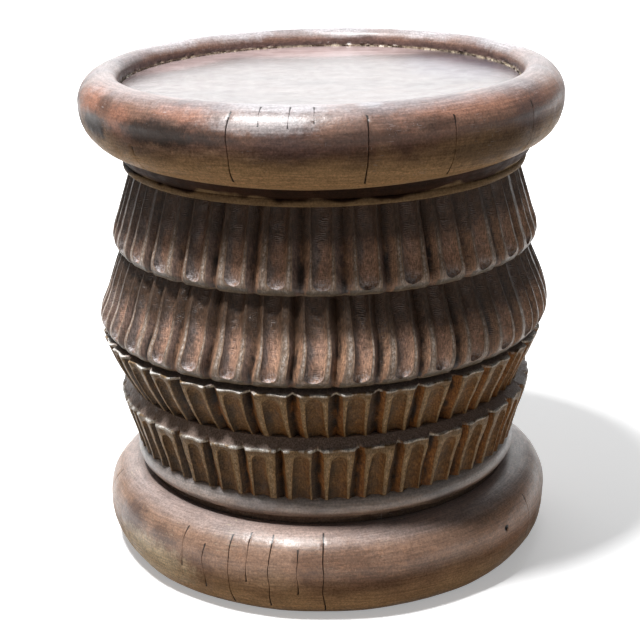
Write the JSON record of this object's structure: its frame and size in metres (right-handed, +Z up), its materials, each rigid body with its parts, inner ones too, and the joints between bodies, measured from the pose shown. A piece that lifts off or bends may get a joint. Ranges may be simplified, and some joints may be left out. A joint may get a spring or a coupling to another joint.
{
  "type": "drum side table",
  "caption": "Round carved wooden drum table: a dished top in a fat rolled rim, fluted body tiers between plain collars, and the rolled base ring that it stands on.",
  "frame": {"origin": "centre of the footprint, on the floor", "axes": "+Z up along the table's axis; the pictured side faces -Y"},
  "size_m": [0.5, 0.5, 0.515],
  "materials": {
    "rim_hardwood": "polished dark hardwood, copper-brown and near-black patina",
    "panel_hardwood": "polished hardwood, glossy, fine straight grain",
    "collar_hardwood": "polished dark hardwood, greyed edges",
    "skirt_hardwood": "carved dark hardwood, waxed, worn ridges",
    "cup_hardwood": "carved dark hardwood, waxed, olive-tan edges",
    "base_hardwood": "polished brown hardwood, satin",
    "bare_hardwood": "bare sawn hardwood"
  },
  "bodies": {
    "root": {"base_ring": "base_hardwood", "foot_collar": "collar_hardwood", "lower_cup_tier": "cup_hardwood", "upper_cup_tier": "cup_hardwood", "lower_skirt_tier": "skirt_hardwood", "upper_skirt_tier": "skirt_hardwood", "neck_collar": "collar_hardwood", "top_rim": "rim_hardwood", "top_panel": "panel_hardwood", "barrel_staves": "bare_hardwood", "top_pegs": "bare_hardwood", "base_pegs": "bare_hardwood"}
  },
  "joints": []
}
